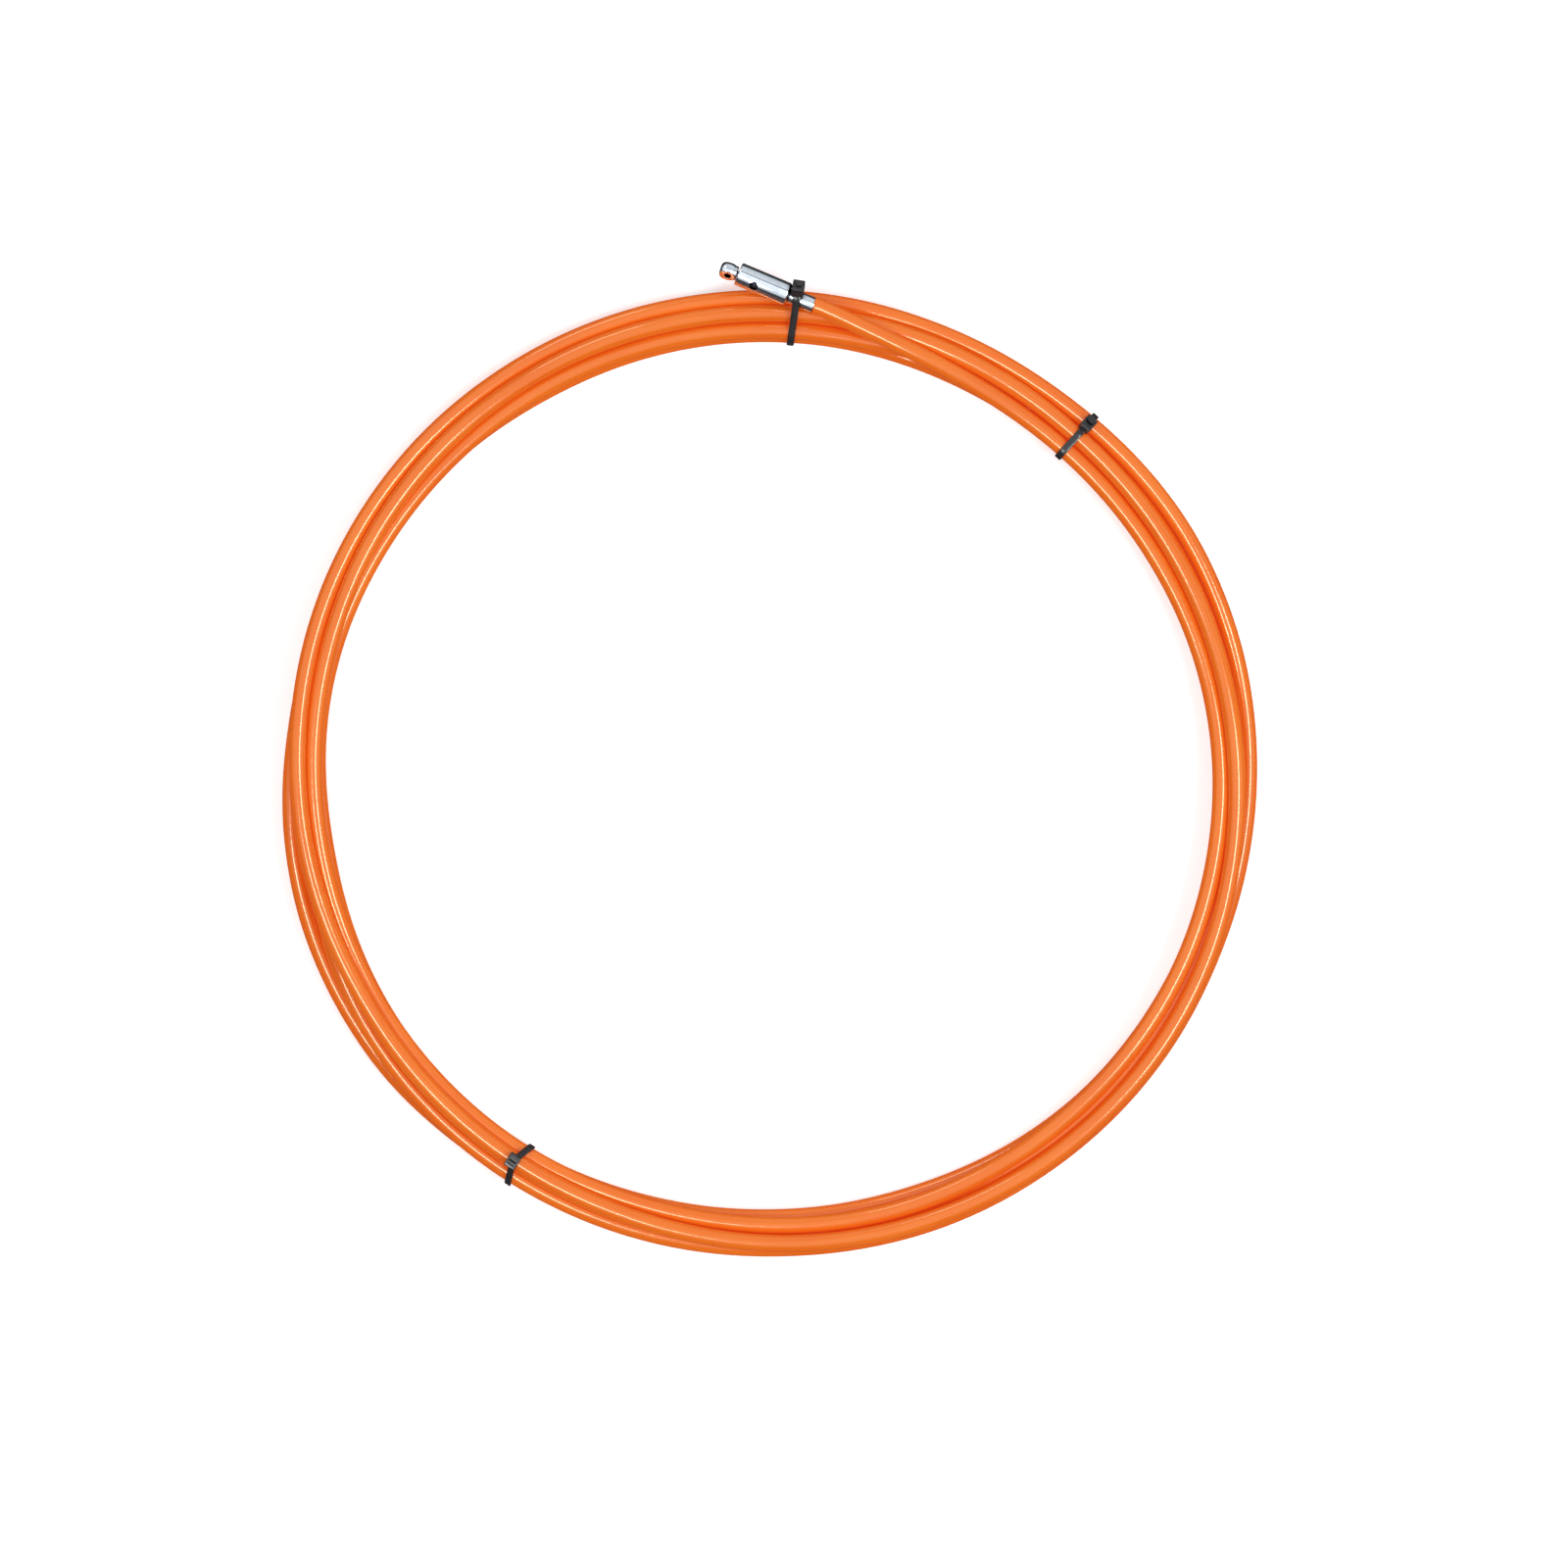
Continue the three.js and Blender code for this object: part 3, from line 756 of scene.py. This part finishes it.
def strap_mesh(name, circles):
    """The strap round the bundle: rounded outside corners, and small teeth on its inner face."""
    points, normals = resample(hull_of_circles(circles, STRAP_CLEARANCE), TOOTH)
    half = STRAP_WIDTH / 2
    round_edge = 0.3 * MM
    rings = []
    for i, (point, normal) in enumerate(zip(points, normals)):
        inner = 0.0 if i % 2 else TOOTH_DEPTH
        outer = STRAP_THICKNESS + STRAP_FLOOR * max(0, -normal.y) ** 2
        section = [
            (-half + 0.35 * MM, inner), (-half + 0.3 * MM, 0.0),
            (-half + 0.05 * MM, 0.0), (-half, 0.08 * MM),
            (-half, outer - round_edge), (-half + 0.09 * MM, outer - 0.09 * MM), (-half + round_edge, outer),
            (half - round_edge, outer), (half - 0.09 * MM, outer - 0.09 * MM), (half, outer - round_edge),
            (half, 0.08 * MM), (half - 0.05 * MM, 0.0), (half - 0.3 * MM, 0.0), (half - 0.35 * MM, inner),
        ]
        rings.append([(point.x + normal.x * out, point.y + normal.y * out, along) for along, out in section])
    mesh = grid_mesh(name, rings, loop=True)
    face_outwards(mesh)
    return mesh


def seat_of_head(circles, direction):
    """Where the head sits on the strap's inner line, and the strap's outward normal there."""
    points, normals = resample(hull_of_circles(circles, STRAP_CLEARANCE), 0.1 * MM)
    middle = sum(points, Vector((0, 0))) / len(points)
    best = max(range(len(points)), key=lambda i: (points[i] - middle).normalized().dot(direction))
    return points[best], normals[best]


def tie_head(name, matrix):
    """The moulded head: a tapered block with the strap's slot through it and the pawl in the slot."""
    height = TIE_HEAD[1]
    head = link(name, box_mesh(name, TIE_HEAD, (0, height / 2 + TIE_HEAD_LIFT, 0)), matrix)
    for vertex in head.data.vertices:
        if vertex.co.y > height / 2:
            vertex.co.x *= TIE_HEAD_TAPER[0]
            vertex.co.z *= TIE_HEAD_TAPER[1]
    bevel(head, TIE_HEAD_ROUNDING, segments=4, angle=30)
    slot = box_mesh("cutter", SLOT, (TAIL_PLACE, height, 0))
    cut(head, link("cutter", slot, matrix))
    window = box_mesh("cutter", PAWL_WINDOW, (PAWL_PLACE, height + 0.4 * MM, 0))
    cut(head, link("cutter", window, matrix))
    return head


def cut_tail(name, matrix):
    """The end of the strap, trimmed just above the head, with its teeth."""
    rings = []
    half = STRAP_WIDTH / 2
    right = TAIL_PLACE + TAIL_HALF
    for i in range(TAIL_STEPS + 1):
        y = TAIL_BOTTOM + TAIL_LENGTH * i / TAIL_STEPS
        left = TAIL_PLACE - TAIL_HALF + (0.0 if i % 2 else TOOTH_DEPTH)
        rings.append([(left, y, -half), (right, y, -half), (right, y, half), (left, y, half)])
    return link(name, grid_mesh(name, rings), matrix)


def make_tie(number, tie):
    name = f"cable_tie_{number}"
    circles = [(x, z, ROD_DIAMETER / 2) for x, z in strands_at(tie["angle"])]
    if number == 1:
        circles.append((FERRULE_IN_TIE, FERRULE_END.z, FERRULE_RADIUS))
    turn = math.radians(tie["angle"] + tie["skew"])
    outward = Vector((math.sin(turn), math.cos(turn), 0))
    up = Vector((0, 0, 1))
    along = outward.cross(up)
    place = Matrix((outward, up, along)).transposed().to_4x4()
    matrix = Matrix.Translation(around_coil(tie["angle"], 0, 0)) @ place
    strap = link(name + "_moulded", strap_mesh(name, circles), matrix)
    lean = math.radians(tie["head_at"])
    seat, normal = seat_of_head(circles, Vector((math.cos(lean), math.sin(lean))))
    for vertex in strap.data.vertices:
        vertex.co.z -= tie["bow"] * abs(vertex.co.x - seat.x)
    turned = math.atan2(normal.y, normal.x) - math.pi / 2
    local = matrix @ Matrix.Translation((seat.x, seat.y, 0)) @ Matrix.Rotation(turned, 4, "Z")
    head = tie_head(name + "_head", local)
    join(strap, head)
    tail = cut_tail(name + "_tail", local)
    join(strap, tail)
    smooth(strap, 28)
    return finish_piece(strap, "black_nylon", "coil", name)


ties = [make_tie(number, tie) for number, tie in enumerate(TIES, 1)]

# ---------------------------------------------------------------- floor and light

FLOOR_HALF = 6
LIGHT_DISTANCE = 4
WORLD_TILT = 24               # of the studio's bright side, in degrees from overhead
WORLD_AZIMUTH = 23
WORLD_STRENGTH = 0.72
STUDIO_GREYS = [(0.0, 0.06), (0.6, 0.08), (0.67, 0.85), (0.9, 0.95), (1.0, 1.0)]
MIRRORED_PANELS = [
    (0.2, 0.8), (0.35, 1.05), (0.715, 1.05), (0.735, 0.36), (0.795, 0.36), (0.825, 0.8), (1.0, 0.72),
]


def make_floor():
    mesh = bpy.data.meshes.new("floor")
    half = FLOOR_HALF
    corners = [(-half, -half, 0), (half, -half, 0), (half, half, 0), (-half, half, 0)]
    mesh.from_pydata(corners, [], [(0, 1, 2, 3)])
    floor = link("floor", mesh)
    made = Nodes("floor")
    made.set(made.shader, "Base Color", (0.9, 0.9, 0.9, 1))
    made.set(made.shader, "Roughness", 0.8)
    made.set(made.shader, "Specular IOR Level", 0.0)
    made.set(made.shader, "Emission Color", (1, 1, 1, 1))
    made.set(made.shader, "Emission Strength", 0.30)
    mesh.materials.append(made.material)
    floor.visible_glossy = False


def softbox(name, azimuth, tilt, size, radiance):
    """A soft light at that azimuth round the coil and tilt from overhead, both in degrees."""
    turn = math.radians(azimuth)
    lean = math.radians(tilt)
    outward = Vector((math.sin(turn), math.cos(turn), 0))
    place = COIL_CENTRE + LIGHT_DISTANCE * (math.sin(lean) * outward + Vector((0, 0, math.cos(lean))))
    light = bpy.data.lights.new(name, "AREA")
    light.shape = "RECTANGLE"
    light.size, light.size_y = size
    light.energy = math.pi * size[0] * size[1] * radiance
    lamp = bpy.data.objects.new(name, light)
    bpy.context.scene.collection.objects.link(lamp)
    lamp.matrix_world = frame_matrix(place, place - COIL_CENTRE)


def greys_along(tree, direction, stops):
    """Slightly cool greys, ramped from the sky opposite a direction, at 0, to the sky there, at 1."""
    coordinates = tree.nodes.new("ShaderNodeTexCoord")
    facing = tree.nodes.new("ShaderNodeVectorMath")
    facing.operation = "DOT_PRODUCT"
    facing.inputs[1].default_value = direction
    spread = tree.nodes.new("ShaderNodeMapRange")
    spread.inputs["From Min"].default_value = -1
    ramp = tree.nodes.new("ShaderNodeValToRGB")
    elements = ramp.color_ramp.elements
    while len(elements) < len(stops):
        elements.new(0.5)
    for element, (position, grey) in zip(elements, stops):
        element.position = position
        element.color = (grey * 0.95, grey * 0.985, grey * 1.02, 1)
    tree.links.new(coordinates.outputs["Generated"], facing.inputs[0])
    tree.links.new(facing.outputs["Value"], spread.inputs["Value"])
    tree.links.new(spread.outputs["Result"], ramp.inputs["Fac"])
    return ramp.outputs["Color"]


def make_world():
    """A pale studio: bright round a tilted axis, dark low down opposite, with panels for mirrors only."""
    world = bpy.data.worlds.new("studio")
    world.use_nodes = True
    tree = world.node_tree
    lean = math.radians(WORLD_TILT)
    turn = math.radians(WORLD_AZIMUTH)
    bright_side = (math.sin(lean) * math.sin(turn), math.sin(lean) * math.cos(turn), math.cos(lean))
    studio = greys_along(tree, bright_side, STUDIO_GREYS)
    panels = greys_along(tree, (math.sin(turn), math.cos(turn), 0), MIRRORED_PANELS)
    background = tree.nodes["Background"]
    background.inputs["Strength"].default_value = WORLD_STRENGTH
    tree.links.new(studio, background.inputs["Color"])
    both = tree.nodes.new("ShaderNodeMix")
    both.data_type = "RGBA"
    both.blend_type = "MULTIPLY"
    both.inputs[0].default_value = 1
    tree.links.new(studio, both.inputs[6])
    tree.links.new(panels, both.inputs[7])
    mirrored = tree.nodes.new("ShaderNodeBackground")
    tree.links.new(both.outputs[2], mirrored.inputs["Color"])
    rays = tree.nodes.new("ShaderNodeLightPath")
    choice = tree.nodes.new("ShaderNodeMixShader")
    tree.links.new(rays.outputs["Is Glossy Ray"], choice.inputs[0])
    tree.links.new(background.outputs[0], choice.inputs[1])
    tree.links.new(mirrored.outputs[0], choice.inputs[2])
    tree.links.new(choice.outputs[0], tree.nodes["World Output"].inputs["Surface"])
    bpy.context.scene.world = world


make_floor()
make_world()
softbox("softbox_right", 103, 29, (2.3, 0.85), 13)
softbox("softbox_left", 226, 21, (1.75, 0.75), 13)
softbox("strip_left", 338, 58, (0.9, 0.6), 6)
bpy.context.scene.view_settings.view_transform = "Standard"
